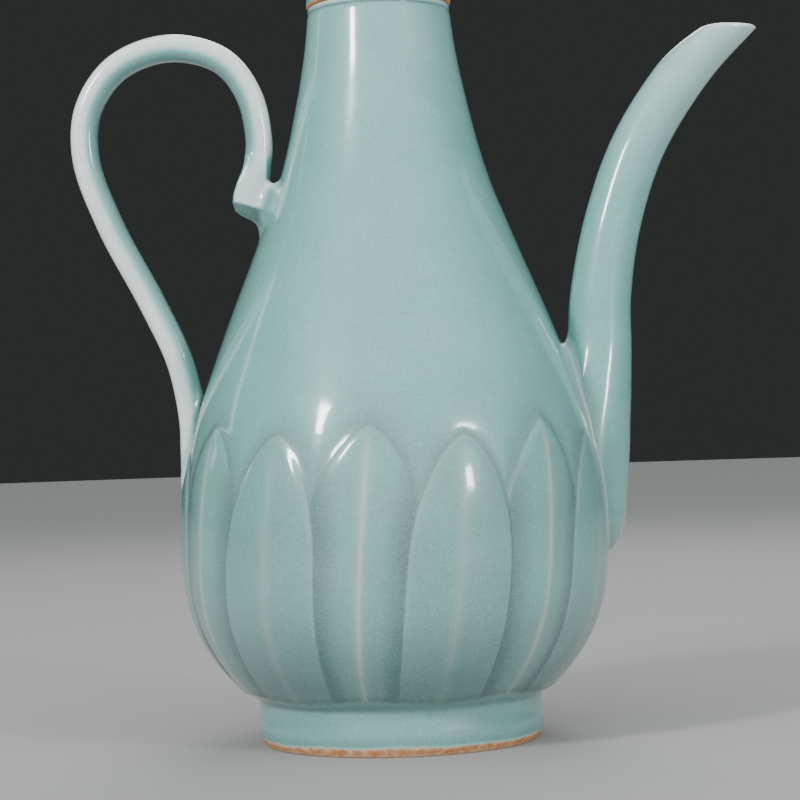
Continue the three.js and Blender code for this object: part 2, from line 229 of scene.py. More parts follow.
def makeGlaze(name, look):
    material = bpy.data.materials.new(name)
    material.use_nodes = True
    tree = material.node_tree
    tree.nodes.clear()
    place = addNode(tree, "ShaderNodeTexCoord").outputs["Object"]
    depth = attributeNode(tree, "glazeDepth")

    # the glaze's depth, stirred by soft clouds and by the fine bubbles in it, picks its colour
    mottle = noiseNode(tree, place, look["mottleSize"], 4.0, 0.6)
    bubbles = noiseNode(tree, place, look["bubbleSize"], 2.0, 0.7)
    stirred = mathNode(tree, "MULTIPLY_ADD", mottle, look["mottle"], depth)
    speckleShare = mathNode(tree, "MULTIPLY", depth, look["speckle"])
    speckle = mathNode(tree, "SUBTRACT", bubbles, 0.5)
    spotted = mathNode(tree, "MULTIPLY_ADD", speckle, speckleShare, stirred)
    centred = mathNode(tree, "SUBTRACT", spotted, look["mottle"] / 2)
    depthColour = rampNode(tree, centred, look, glazeStops)
    glaze = mixColours(tree, attributeNode(tree, "ridgeTone"), depthColour, rgba(look["ridge"]))

    # bare clay, with a ragged edge to the glaze
    grain = noiseNode(tree, place, look["grainSize"], 5.0, 0.65)
    clayPlace = mathNode(tree, "MULTIPLY_ADD", attributeNode(tree, "clayTone"), 0.25, grain)
    edge = mathNode(tree, "MULTIPLY_ADD", grain, 0.5, attributeNode(tree, "bareClay"))
    cover = addNode(tree, "ShaderNodeMapRange", i0=edge, i1=0.70, i2=0.80, i3=0.0, i4=1.0).outputs[0]
    colour = mixColours(tree, cover, glaze, rampNode(tree, clayPlace, look, clayStops))

    ripple = noiseNode(tree, place, look["rippleSize"], 2.0)
    bumpSum = mathNode(tree, "MULTIPLY_ADD", bubbles, 0.10, ripple)
    bump = addNode(tree, "ShaderNodeBump", Height=bumpSum, Strength=look["ripple"],
                   Distance=look["rippleDepth"])
    smoothest, roughest = look["roughness"]
    roughGlaze = addNode(tree, "ShaderNodeMapRange", i0=mottle, i1=0.3, i2=0.7, i3=smoothest, i4=roughest)
    rough = addNode(tree, "ShaderNodeMix", {"data_type": "FLOAT"}, i0=cover,
                    i2=roughGlaze.outputs[0], i3=look["clayRoughness"])
    coat = mathNode(tree, "SUBTRACT", 1.0, cover)
    shader = addNode(tree, "ShaderNodeBsdfPrincipled", **{
        "Base Color": colour, "Roughness": rough.outputs[0], "Normal": bump.outputs["Normal"],
        "IOR": 1.5, "Specular IOR Level": 0.25, "Coat Weight": coat,
        "Coat Roughness": look["coatRoughness"], "Coat IOR": 1.45, "Subsurface Weight": 0.12,
        "Subsurface Radius": (0.8, 1.0, 1.0), "Subsurface Scale": 0.0015,
    })
    output = addNode(tree, "ShaderNodeOutputMaterial")
    tree.links.new(shader.outputs[0], output.inputs["Surface"])
    return material


celadonGlaze = makeGlaze("celadonGlaze", glazeLook)
footGlaze = makeGlaze("footGlaze", {**glazeLook, "body": (0.168, 0.418, 0.388)})
lidGlaze = makeGlaze("lidGlaze", glazeLook)
print("glazes mixed")


# Turned body

body = {
    "footRadius": 46.1, "footLean": 50.6, "footFull": 22.9,
    "bellyRadius": 69.7, "bellyHeight": 62.5, "fullBelow": 19.6, "fullAbove": 37.2,
    "throatRadius": 36.8, "throatHeight": 177.8, "throatLean": 21.6, "throatBelow": 76.2, "throatAbove": 4,
    "seatRadius": 23.3, "seatLean": 5.3, "seatFull": 31.3,
    "wall": 4.2, "floor": 5.5,
    "collarRadius": 19.6, "collarWall": 3.6,
    "grooveDrop": 2.2, "grooveDepth": 0.45, "grooveWidth": 0.9,
    # the first depth on the next line darkens the cove above the foot: partly pooled glaze, partly painted
    # shade
    "covePoolAndShade": 0.22, "spoutPool": 0.10, "groovePool": 0.3, "rimThin": 0.22, "neckThin": 0.06,
    "lining": 0.42, "neckRows": 60,
}
petals = {
    "count": 7, "phase": -70.8, "lean": 0.07,  # angles from the spout's side, +X
    "front": {"tip": 99.5, "reach": 40, "halfAngle": 13.1, "power": 0.62},
    "back": {"tip": 103.5, "reach": 40, "halfAngle": 15.5, "power": 0.68},
    "flare": 1.0, "outlineLow": 40,  # the outlines are followed down to this height
    "rim": 0.05, "crown": 0.6, "backRidge": 0.5, "valley": 0.4,
    "scoop": 0.62, "scoopReach": 12, "edgeWidth": 1.3, "tipSoftness": 4.0, "colourEdge": 0.6,
    "widenedEdge": 3.0, "widenedAt": -0.583, "widenedReach": 0.16,
    "frontEnd": 17.0, "backEnd": 18.3, "endFade": 0.9,  # where the petals end above the foot
    "cove": [(12.9, 46.3), (13.6, 46.3), (14.3, 46.45), (15, 46.95), (15.7, 47.8), (16.6, 49.1),
             (17.6, 50.5), (19, 52.4), (21, 54.6)],  # height and radius
    "columns": (12, 3, 8, 3, 8),  # over half a pitch: front, its edge, between, the back petal's edge, back
}
petalGlaze = {
    "front": 0.53, "back": 0.50, "ground": 0.46, "cove": 0.52,
    # the last depth on the next line is painted shade, darker towards the bottom of the belly
    "backPool": 0.30, "groundPool": 0.26, "lowShade": 0.24,
    # the first stripe on the next line is painted shade on the petals' down-facing lower ends; the second is
    # the pale edge of the glaze
    "endShade": (0.14, 0.8), "endLine": (0.22, 0.8),  # the strength and width of soft stripes
    "frontRidge": (0.24, 1.5), "backRidge": (0.50, 0.8), "backSwell": (0.24, 2.6),
    "frontEdge": (0.32, 0.6),
}
pitch = 360 / petals["count"]
endMiddle = (petals["frontEnd"] + petals["backEnd"]) / 2


def leaned(place, lean, length):
    angle = math.radians(lean)
    return (place[0] - length * math.sin(angle), place[1] + length * math.cos(angle))


def wallOutline():
    foot = (body["footRadius"], footTop)
    belly = (body["bellyRadius"], body["bellyHeight"])
    throat = (body["throatRadius"], body["throatHeight"])
    seat = (body["seatRadius"], seatTop)
    arcs = [
        (foot, leaned(foot, -body["footLean"], body["footFull"]),
         (belly[0], belly[1] - body["fullBelow"]), belly),
        (belly, (belly[0], belly[1] + body["fullAbove"]),
         leaned(throat, body["throatLean"], -body["throatBelow"]), throat),
        (throat, leaned(throat, body["throatLean"], body["throatAbove"]),
         leaned(seat, body["seatLean"], -body["seatFull"]), seat),
    ]
    return np.vstack([bezier(arc, 200) for arc in arcs])


outline = wallOutline()


def wallRadius(height):
    return np.interp(height, outline[:, 1], outline[:, 0])


def wallSlope(height):
    return (wallRadius(height + 1) - wallRadius(height - 1)) / 2


def halfAngle(petal, height):
    drop = petal["tip"] - np.asarray(height, float)
    share = 1 - np.clip(drop / petal["reach"], 0, 1)
    full = petal["halfAngle"] + petals["flare"] * smooth(drop / petal["tip"])
    return np.where(drop > 0, full * (1 - share ** 2) ** petal["power"], 0)


def edgeTables():
    # How far inside each kind of petal a place lies, in mm along the wall, over one pitch of the pattern:
    # rows of height, columns of angle from a front petal's middle
    heights = np.arange(footTop, 128, 0.35)
    angles = np.linspace(-pitch / 2, pitch / 2, 241)
    angle, height = np.meshgrid(angles, heights)
    perDegree = math.pi / 180 * wallRadius(height)
    place = np.stack([angle * perDegree, height], axis=-1)
    tables = []
    for petal, centres in ((petals["front"], (0,)), (petals["back"], (-pitch / 2, pitch / 2))):
        signed = np.full(angle.shape, -99.0)
        for centre in centres:
            at = mix(petal["tip"], petals["outlineLow"], np.linspace(0, 1, 90) ** 2)
            distance = np.full(angle.shape, 99.0)
            for side in (-1, 1):
                turned = (centre + side * halfAngle(petal, at)) * math.pi / 180
                edge = np.stack([turned * wallRadius(at), at], axis=1)
                for start, end in zip(edge, edge[1:]):
                    distance = np.minimum(distance, segmentDistance(place, start, end))
            isInside = np.abs(angle - centre) < halfAngle(petal, height)
            signed = np.maximum(signed, np.where(isInside, distance, -distance))
        tables.append(signed)
    return heights, angles, tables


tableHeights, tableAngles, edgeDistances = edgeTables()


def sampleGrid(grid, row, column):
    # Points of a grid that closes round its second axis, at rows and columns with fractions
    rows, columns = grid.shape[:2]
    row = np.clip(row, 0, rows - 1.001)
    r0, c0 = row.astype(int), np.floor(column).astype(int)
    r, c = (row - r0)[..., None], (column - c0)[..., None]
    c0, c1 = c0 % columns, (c0 + 1) % columns
    return mix(mix(grid[r0, c0], grid[r0, c1], c), mix(grid[r0 + 1, c0], grid[r0 + 1, c1], c), r)


def readTable(table, local, height):
    column = (local - tableAngles[0]) / (tableAngles[1] - tableAngles[0])
    row = (height - tableHeights[0]) / (tableHeights[1] - tableHeights[0])
    return sampleGrid(table[..., None], row, np.clip(column, 0, len(tableAngles) - 1.001))[..., 0]


def covePoolAndShade(height):
    # Darker glaze rising from the foot ring up the cove under the petals' ends: partly glaze pooled in the
    # cove, partly painted shade where it faces down; kept pale at the joint itself, as painted light against
    # its shadow
    return body["covePoolAndShade"] * smooth((height - 12.5) / 5)


def petalEnd(local):
    # The height at which the petals end above the foot
    return endMiddle - (petals["backEnd"] - endMiddle) * np.cos(2 * math.pi * local / pitch)


def stripe(kind, away):
    # A soft stripe in the glaze round a line that is so many mm away
    strength, width = petalGlaze[kind]
    return strength * peak(away, width)


def carving(local, height):
    # Relief, glaze depth and ridge tone of the carved pattern, at angles from a front petal's middle
    fromFront = np.abs(local)
    fromBack = pitch / 2 - fromFront
    perDegree = math.pi / 180 * wallRadius(height)
    frontHalf = np.maximum(halfAngle(petals["front"], height), 0.3)
    inFront = readTable(edgeDistances[0], local, height)
    inBack = readTable(edgeDistances[1], local, height)
    outside = np.maximum(-np.maximum(inFront, inBack), 0)
    width = petals["edgeWidth"] + petals["tipSoftness"] * smooth((height - 70) / 24)

    acrossFront = np.clip(fromFront / frontHalf, 0, 1)
    acrossBack = np.clip(fromBack / np.maximum(pitch / 2 - frontHalf, 1), 0, 1)
    nearTip = smooth((petals["front"]["tip"] - height) / 14)
    front = petals["rim"] + petals["crown"] * (1 - acrossFront ** 1.6) * nearTip
    back = petals["backRidge"] * (1 - acrossBack) ** 1.6 - petals["valley"] * acrossBack ** 1.2
    ground = -petals["scoop"] * np.clip(1 - outside / petals["scoopReach"], 0, 1) ** 1.5
    relief = mix(mix(ground, back, within(inBack, width)), front, within(inFront, width))

    edgeTone, edgeReach = petalGlaze["frontEdge"]
    frontTone = (stripe("frontRidge", fromFront * perDegree) * nearTip
                 + edgeTone * np.exp(-np.maximum(inFront, 0) / edgeReach))
    backTone = stripe("backRidge", fromBack * perDegree) + stripe("backSwell", fromBack * perDegree)
    backTone = backTone * smooth((petals["back"]["tip"] - height) / 10)
    backDepth = petalGlaze["back"] + petalGlaze["backPool"] * smooth((acrossBack - 0.35) / 0.65)
    depth = petalGlaze["ground"] + petalGlaze["groundPool"] * np.exp(-outside / 3)
    onBack, onFront = within(inBack, petals["colourEdge"]), within(inFront, petals["colourEdge"])
    depth = mix(mix(depth, backDepth, onBack), petalGlaze["front"], onFront)
    # painted shade: the glaze is made deeper and darker towards the bottom of the belly
    depth = depth + petalGlaze["lowShade"] * smooth((52 - height) / 36)
    tone = onBack * backTone * (1 - onFront) + onFront * frontTone
    fade = smooth((124 - height) / 8)
    relief, depth = relief * fade, mix(plainDepth, depth, fade)

    end = petalEnd(local)
    under = smooth((end - height) / petals["endFade"])
    relief = relief * (1 - 0.6 * smooth((28 - height) / 10))
    cove = np.interp(height, *np.array(petals["cove"]).T) - wallRadius(height)
    relief = mix(relief, cove, under)
    # below the petals' ends the cove takes darker glaze, partly pooled and partly painted shade; just above
    # them a darker stripe is painted shade on their down-facing lower ends
    depth = mix(depth, petalGlaze["cove"] + covePoolAndShade(height), under) + stripe("endShade", height - end - 0.8)
    tone = tone * (1 - under) * (1 - 0.5 * smooth((40 - height) / 20))
    tone = tone + stripe("endLine", height - end + 1.0)
    return relief, depth, tone


def wander(turn):
    # How many degrees the hand-cut pattern strays at an angle in radians
    strayed = 0.5 * np.sin(2 * turn + 0.6) + 0.45 * np.sin(5 * turn + 1.9)
    aside = (turn - petals["widenedAt"] + math.pi) % (2 * math.pi) - math.pi
    return strayed + petals["widenedEdge"] * peak(aside, petals["widenedReach"])


def lift(turn, height):
    # How many mm the pattern strays upwards
    return (0.7 * np.sin(3 * turn + 2.0) + 0.5 * np.sin(5 * turn + 0.4)) * smooth((height - 70) / 25)


def petalCentre(height):
    return petals["phase"] - petals["lean"] * (petals["front"]["tip"] - height)


def inPitch(angle):
    return (angle + pitch / 2) % pitch - pitch / 2


def petalRelief(angle, height):
    # The relief at any angle and height of the wall
    turn = np.radians(angle)
    cutHeight = height - lift(turn, height)
    return carving(inPitch(angle - petalCentre(cutHeight) + wander(turn)), cutHeight)[0]


def patternAngles(height):
    # Angles from a front petal's middle to the next back petal's, close together at both outlines
    half = pitch / 2
    edge = np.degrees(0.6 * petals["edgeWidth"] / wallRadius(height))
    front = np.maximum(halfAngle(petals["front"], height), 2 * edge)
    back = np.maximum(half - halfAngle(petals["back"], height), front + 4 * edge)
    lastBack = np.minimum(back, half - 3 * edge)
    stops = [np.zeros_like(height), front - edge, front + edge, lastBack - edge, lastBack + edge,
             np.full_like(height, half)]
    parts = [mix(start[:, None], end[:, None], np.arange(count) / count)
             for start, end, count in zip(stops, stops[1:], petals["columns"])]
    angles = np.concatenate(parts + [stops[-1][:, None]], axis=1)
    even = np.linspace(0, half, angles.shape[1])
    return mix(angles, even, smooth((height - petals["front"]["tip"]) / 9)[:, None])


def carvedGrid():
    # Angles and heights of points that follow the petals' outlines, with what carving gives for them.
    # Rows lie closest where the petals end and round their tips.
    heights = np.concatenate([np.linspace(footTop, 22, 36), np.arange(23, 88, 1.0), np.arange(88, 108, 0.4),
                              np.linspace(108, 123.5, 13)])
    half = patternAngles(heights)
    local = np.concatenate([half[:, :-1], pitch - half[:, :0:-1]], axis=1)
    whole = np.concatenate([local + k * pitch for k in range(petals["count"])], axis=1)
    near = np.interp(heights, [footTop, endMiddle, 22], [0, 1, 0])[:, None]
    cutHeight = heights[:, None] + (petalEnd(whole) - endMiddle) * near
    angle, height = whole + petalCentre(cutHeight), cutHeight
    for _ in range(12):
        turn = np.radians(angle)
        height = cutHeight + lift(turn, height)
        angle = whole + petalCentre(cutHeight) - wander(turn)
    height[0] = footTop
    return angle, height, *carving(inPitch(whole), cutHeight)


def wobble(turn, height):
    # The small unevenness of a thrown and trimmed wall
    return 0.12 * np.sin(2 * turn + height / 40) + 0.06 * np.sin(height / 5.3)


def bodyDistance(points):
    # How far points in mm lie outside the body's outer wall
    x, y, height = np.moveaxis(points, -1, 0)
    turn = np.arctan2(y, x)
    wall = wallRadius(height) + petalRelief(np.degrees(turn), height) + wobble(turn, height)
    return (np.hypot(x, y) - wall) / np.sqrt(1 + wallSlope(height) ** 2)


def bodyNormal(points):
    x, y, height = np.moveaxis(points, -1, 0)
    radius = np.maximum(np.hypot(x, y), 1e-6)
    return unit(np.stack([x / radius, y / radius, -wallSlope(height)], axis=-1))


def luted(grid, normal, gap, otherNormal, reach):
    # Fills the corner between two pieces with slip: the first piece's surface swells where it comes near the
    # other
    near = np.clip(1 - np.abs(gap) / reach, 0, 1)
    swell = reach / 4 * near ** 2
    way = normal + otherNormal
    length = np.maximum(np.linalg.norm(way, axis=-1, keepdims=True), 0.7)
    return grid + way / length * swell[..., None] * 2 / length, near


# The spout's line, worked out before the body because glaze pools on the wall beside it

spout = {
    "line": [(60, 57, 8, 9.5), (60, 62, 12.6, 16.8), (60, 68.4, 15.3, 18.8), (60.2, 75, 16.1, 18),
             (63.6, 98, 14.9, 15.3), (66.6, 112, 12.8, 13.2), (69, 126, 10.9, 10.9), (70.2, 143, 10.1, 10.1),
             (75, 167.5, 9.4, 9.4), (84.8, 193.6, 8.9, 8.9), (102.6, 219.5, 8.4, 8.4), (121, 238, 8, 8)],
    "wall": 2.6, "tipHeight": 231.2, "rows": 230, "columns": 120, "lip": 0.9, "lipLean": 1.3,
    "backTrim": 3.8, "backTrimReach": 12,  # the back of the tip is trimmed round
    "rootPool": 0.14, "tipThin": 0.20, "rimThin": 0.25, "lipDepth": 0.05, "boreDepth": 0.45,
}
spoutCentres = catmullRom(spout["line"], np.linspace(0, 1, 400))


def spoutDistance(points):
    # How far points in mm lie outside the spout's tube
    best = np.full(points.shape[:-1], 1e9)
    for x, z, radius, sideways in spoutCentres[::2]:
        offset = points - [x, 0, z]
        length = np.linalg.norm(offset, axis=-1)
        reach = np.maximum(np.linalg.norm(offset * [1, radius / sideways, 1], axis=-1), 1e-6)
        best = np.minimum(best, (reach - radius) * length / reach)
    return best


def makeBody():
    angle, height, relief, depth, tone = carvedGrid()
    grooveHeight = seatTop - body["grooveDrop"]
    groove = grooveHeight + np.arange(-2, 3) * body["grooveWidth"] / 4
    plain = np.concatenate([np.linspace(126, seatTop - 4, body["neckRows"]), groove,
                            [seatTop - 1, seatTop - 0.4]])
    above = ((angle, angle[-1]), (height, plain[:, None]), (relief, 0), (depth, plainDepth))
    angle, height, relief, depth = (
        np.concatenate([carved, np.broadcast_to(more, (len(plain), carved.shape[1]))])
        for carved, more in above)
    turn = np.radians(angle)
    radius = wallRadius(height) + relief
    away = np.abs(height - grooveHeight) / (body["grooveWidth"] / 2)
    radius -= body["grooveDepth"] * np.clip(1 - away, 0, 1)
    radius += wobble(turn, height)

    outer = ringGrid(radius, turn, height)
    depth = depth + body["spoutPool"] * peak(spoutDistance(outer), 3.5)
    rim = smooth((height - (seatTop - 1.9)) / 1.2)
    neck = smooth((height - 185) / 55)
    depth = np.clip(depth - body["rimThin"] * rim - body["neckThin"] * neck, 0.02, 0.98)
    depth += body["groovePool"] * peak(height - grooveHeight, 0.4)
    turn = turn[-1]

    # seat, collar and lining: rings of one radius each
    collar, bore = body["collarRadius"], body["collarRadius"] - body["collarWall"]
    floor = footTop + body["floor"]
    rings = [(body["seatRadius"] - 0.5, seatTop), (collar + 0.6, seatTop), (collar, seatTop + 0.5),
             (collar, collarTop - 1), (collar - 0.4, collarTop - 0.3), (collar - 1.2, collarTop),
             (bore + 1.2, collarTop), (bore + 0.4, collarTop - 0.4), (bore, collarTop - 1.2),
             (bore, seatTop - 10)]
    rings += [(float(wallRadius(h)) - body["wall"], h) for h in np.linspace(seatTop - 22, footTop + 12, 26)]
    rings += [(36, floor + 1.5), (18, floor), (1, floor)]
    rings = np.array(rings, float)
    inner = ringGrid(rings[:, :1], turn, rings[:, 1:])
    lip = petals["cove"][0][1]
    skirt = np.array([(1, footTop - 0.6), (38, footTop - 0.6), (44.5, footTop - 1.1),
                      (lip - 0.2, footTop - 1), (lip - 0.05, footTop - 0.5)])
    under = ringGrid(skirt[:, :1] + wobble(turn, skirt[:, 1:]), turn, skirt[:, 1:])
    grid = np.concatenate([under, outer, inner])
    depth = np.concatenate([np.full(under.shape[:2], 0.5), depth, np.full(inner.shape[:2], body["lining"])])
    bare, ridges = np.zeros(grid.shape[:2]), np.zeros(grid.shape[:2])
    seat = len(under) + len(outer)
    bare[seat:seat + 3] = 1.0
    ridges[len(under):len(under) + len(tone)] = tone
    return makePiece("potBody", grid, celadonGlaze, capped=True, glazeDepth=depth,
                     bareClay=bare, ridgeTone=ridges)


potBody = makeBody()
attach(potBody, "pot")
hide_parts("lower_bowl", "belly_wall", "upper_body")
print("body turned and carved")


# Foot ring

foot = {
    "radius": 46.5, "wall": 6.6, "clayHeight": 2.7, "edgeThin": 0.30, "rows": 110, "columns": 256,
    "face": [(-2.6, 0), (-1.8, 0.2), (-1.0, 1.2), (-0.45, 2.4), (0.1, 3.8), (0.45, 5.6),
             (0.35, 7.6), (0.05, 9.6), (-0.15, 11.4), (-0.2, 12.4)],  # places beside the radius, and heights
    "top": [(-0.22, 0.1), (-0.6, 0.7), (-2.2, 0.9)],                  # the same, above the ring's height
}


def makeFoot():
    outerRadius, inner = foot["radius"], foot["radius"] - foot["wall"]
    profile = [(inner - 0.5, footTop), (inner - 0.2, 8), (inner, 2.2), (inner + 0.6, 0.4), (inner + 1.4, 0)]
    profile += [(outerRadius + beside, height) for beside, height in foot["face"]]
    profile += [(outerRadius + beside, footTop + above) for beside, above in foot["top"]]
    profile += [(inner, footTop + 0.4)]
    line = catmullRom(profile, np.linspace(0, 1, foot["rows"]))
    turn = fullTurn(foot["columns"])
    radius = line[:, None, 0] + wobble(turn, line[:, None, 1]) * smooth((line[:, None, 1] - 1) / 6)
    grid = ringGrid(radius, turn, np.maximum(line[:, None, 1], 0))
    height = grid[..., 2]
    edge = foot["clayHeight"] + 0.25 * np.sin(3 * turn + 0.4)[None] + 0.15 * np.sin(11 * turn)[None]
    bare = within(edge - height, 0.5)
    tone = peak(height, 0.7) + 0.8 * peak(height - edge, 0.5)
    # near its top the ring takes a little of the cove's darkening, partly pooled glaze and partly painted
    # shade
    depth = petalGlaze["cove"] + covePoolAndShade(height) - foot["edgeThin"] * smooth((edge + 1.2 - height) / 1.2)
    return makePiece("footRing", grid, footGlaze, closedLoop=True, glazeDepth=depth, bareClay=bare,
                     clayTone=tone)


footRing = makeFoot()
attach(footRing, "pot")
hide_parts("foot_ring")
print("foot ring set")


# Spout

def tube(line, places, columns, section):
    # A tube along a line in the XZ plane. section gives the offsets [across, sideways]
    nodes = catmullRom(line, places)
    after, before = (catmullRom(line, np.clip(places + shift, 0, 1))[:, :2] for shift in (1e-3, -1e-3))
    tangent = unit(after - before)
    angle = fullTurn(columns)
    across, sideways = section(nodes, places, angle)
    x = nodes[:, None, 0] + across * tangent[:, None, 1]
    z = nodes[:, None, 1] - across * tangent[:, None, 0]
    return np.stack([x, np.broadcast_to(sideways, x.shape), z], axis=-1)


def roundSection(nodes, places, angle):
    return nodes[:, None, 2] * np.cos(angle), nodes[:, None, 3] * np.sin(angle)


def makeSpout():
    places = np.linspace(0, 1, spout["rows"])
    outer, bore = (tube(spout["line"] - np.array([0, 0, inset, inset]), places, spout["columns"],
                        roundSection) for inset in (0, spout["wall"]))
    # cut level at the tip: each line along the tube ends where it meets the plane, with a rounded lip
    cut = spout["tipHeight"] - spout["lip"]
    back = np.clip(-np.cos(fullTurn(spout["columns"])), 0, 1) ** 1.3
    count = np.arange(len(places))
    for grid in (outer, bore):
        for line in grid.transpose(1, 0, 2):
            at = np.linspace(0, np.interp(cut, line[:, 2], count), len(line))
            line[:] = np.stack([np.interp(at, count, line[:, k]) for k in range(3)], axis=1)
        near = np.clip(1 - (cut - grid[..., 2]) / spout["backTrimReach"], 0, 1)
        grid[..., 0] += spout["backTrim"] * back * near ** 1.8
    rim = (outer[-1] + bore[-1]) / 2
    way = np.stack([spout["lipLean"] * back, 0 * back, 1 + 0 * back], axis=1)
    lip = [rim + (outer[-1] - rim) * math.cos(share) + spout["lip"] * math.sin(share) * way
           for share in np.linspace(0, math.pi, 9)[1:-1]]
    grid = np.concatenate([outer, lip, bore[::-1]])
    along = np.linspace(0, 1, len(outer))[:, None]
    depth = plainDepth + spout["rootPool"] * peak(bodyDistance(outer), 4)
    depth = depth - spout["tipThin"] * smooth((along - 0.75) / 0.25)
    depth = depth - spout["rimThin"] * np.exp(-(spout["tipHeight"] - outer[..., 2]) / 0.9)
    depth = np.concatenate([depth, np.full((len(lip), outer.shape[1]), spout["lipDepth"]),
                            np.full(bore.shape[:2], spout["boreDepth"])])
    return makePiece("spoutTube", grid, celadonGlaze, closedLoop=True, glazeDepth=depth), outer


spoutTube, spoutOuter = makeSpout()
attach(spoutTube, "pot")
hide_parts("spout")

seam = {
    "steps": 360, "reach": 1.1, "crotchReach": 6.8, "crotch": (109, 127),
    "ridge": 0.16, "ridgePlace": 0.42, "ridgeWidth": 0.2, "sunk": 0.05,
    "lineTone": 0.85, "lineWidth": 0.3, "depth": 0.50, "edgeDepth": 0.52, "crotchThin": 0.18,
}


def makeSeam():
    # A fillet of slip between the wall and the spout's root, with the joint's fine double ridge along it
    columns = np.linspace(0, spoutOuter.shape[1], seam["steps"], endpoint=False)
    rows = np.arange(len(spoutOuter), dtype=float)
    gap = bodyDistance(sampleGrid(spoutOuter, *np.meshgrid(rows, columns, indexing="ij")))
    last = len(rows) - 2 - np.argmax(gap[-2::-1] < 0, axis=0)
    pick = np.arange(len(columns))
    row = last + gap[last, pick] / (gap[last, pick] - gap[last + 1, pick])
    place = sampleGrid(spoutOuter, row, columns)
    ahead = unit(np.roll(place, -2, axis=0) - np.roll(place, 2, axis=0))

    alongRow = sampleGrid(spoutOuter, row + 1, columns) - place
    alongColumn = sampleGrid(spoutOuter, row, columns + 1) - place
    spoutNormal = unit(np.cross(alongColumn, alongRow))
    wallNormal = bodyNormal(place)
    low, high = seam["crotch"]
    reach = mix(seam["reach"], seam["crotchReach"], smooth((place[:, 2:] - low) / (high - low)))

    # one edge of the strip lies on the spout, the other one on the wall
    outward = np.cross(ahead, spoutNormal)
    outward *= np.sign((outward * wallNormal).sum(1, keepdims=True)) * reach
    shift = np.linalg.pinv(np.stack([alongRow, alongColumn], axis=-1)) @ outward[..., None]
    onSpout = sampleGrid(spoutOuter, row + shift[:, 0, 0], columns + shift[:, 1, 0])
    sideways = np.cross(ahead, wallNormal)
    onWall = place + sideways * np.sign((sideways * spoutNormal).sum(1, keepdims=True)) * reach
    for _ in range(3):
        onWall = onWall - bodyNormal(onWall) * bodyDistance(onWall)[:, None]

    core = np.array([-0.9, -0.65, -0.42, -0.2, 0, 0.2, 0.42, 0.65, 0.9])
    outer = np.array([0.2, 0.45, 0.7, 0.88, 1])
    far = reach - 0.9
    away = np.concatenate([-(0.9 + far * outer[::-1]), np.broadcast_to(core, (len(place), len(core))),
                           0.9 + far * outer], axis=1)
    t = (0.5 + away / (2 * reach))[..., None]
    strip = (1 - t) ** 2 * onWall[:, None] + 2 * t * (1 - t) * place[:, None] + t ** 2 * onSpout[:, None]
    way = unit(wallNormal + spoutNormal)
    fromRidge = np.abs(away) - seam["ridgePlace"]
    ridge = peak(fromRidge, seam["ridgeWidth"])
    edge = smooth((np.abs(away) / reach - 0.75) / 0.25)
    strip = strip + way[:, None] * (seam["ridge"] * ridge - seam["sunk"] * edge)[..., None]
    depth = seam["depth"] - seam["crotchThin"] * smooth((place[:, 2:] - high + 8) / 6)
    depth = mix(depth, seam["edgeDepth"], edge)
    tone = seam["lineTone"] * peak(fromRidge, seam["lineWidth"])
    # the strip closes round the spout, and its own normals point outwards
    return makePiece("spoutSeam", strip.transpose(1, 0, 2), celadonGlaze, glazeDepth=depth.T,
                     ridgeTone=tone.T)


spoutSeam = makeSeam()
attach(spoutSeam, "pot")
print("spout drawn")


# Handle and its heel

handle = {
    "line": [(-42.4, 178), (-41.9, 187), (-40.9, 199), (-44, 214.2), (-52.6, 225.4), (-69.8, 230),
             (-87, 224.2), (-96.8, 210.8), (-98.2, 194.5), (-91, 172.5), (-77.6, 145.6), (-69, 125.5),
             (-65.6, 106), (-65.7, 96), (-65.5, 88), (-65, 80)],
    "thickness": 8.9, "breadth": 10.6, "squareness": 0.78, "endThin": 0.8, "endBroad": 0.15, "endStart": 0.8,
    # the second and fourth values on the next line are painted shade on the inside of the loop
    "depth": 0.05, "inwardShade": 0.15, "cornerThin": 0.05, "innerSideShade": 0.42,
    "slip": 4.0, "slipPool": 0.18, "rows": 260, "columns": 48,
}


def signedPower(value, power):
    return np.sign(value) * np.abs(value) ** power


def roundedBar(nodes, places, angle):
    ending = smooth((places - handle["endStart"]) / (1 - handle["endStart"]))[:, None]
    halfT = handle["thickness"] / 2 * (1 - (1 - handle["endThin"]) * ending)
    halfB = handle["breadth"] / 2 * (1 + handle["endBroad"] * ending)
    power = handle["squareness"]
    return halfT * signedPower(np.cos(angle)[None], power), halfB * signedPower(np.sin(angle)[None], power)


def rodGlazeAndShade(across, sideways):
    # Glaze depth on the rod, with painted shade that darkens it towards and on the inner side of the loop:
    # across runs from -1, inside the loop, to 1, and sideways from -1 to 1
    cosine = np.abs(np.clip(across, -1, 1)) ** (1 / handle["squareness"])
    sine = np.abs(np.clip(sideways, -1, 1)) ** (1 / handle["squareness"])
    corner = np.clip(2 * cosine * sine, 0, 1) ** 3
    # painted shade: darker across the rod towards the inside of the loop
    inner = smooth((0.6 - across) / 1.4)
    depth = handle["depth"] + handle["inwardShade"] * inner - handle["cornerThin"] * corner
    # painted shade on the loop's inner side, which faces down at its top
    return depth + handle["innerSideShade"] * smooth((-across - 0.05) / 0.55)


def makeHandle():
    places = np.linspace(0, 1, handle["rows"])
    grid = tube(handle["line"], places, handle["columns"], roundedBar)
    grid, near = luted(grid, gridNormals(grid), bodyDistance(grid), bodyNormal(grid), handle["slip"])
    angle = fullTurn(handle["columns"])
    power = handle["squareness"]
    # the rod's glaze carries painted shade on the inside of the loop
    depth = rodGlazeAndShade(signedPower(np.cos(angle), power), np.abs(np.sin(angle)) ** power)
    depth = depth[None] + handle["slipPool"] * near ** 2
    return makePiece("handleRod", grid, celadonGlaze, capped=True, glazeDepth=depth)


handleRod = makeHandle()
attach(handleRod, "pot")
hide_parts("handle")

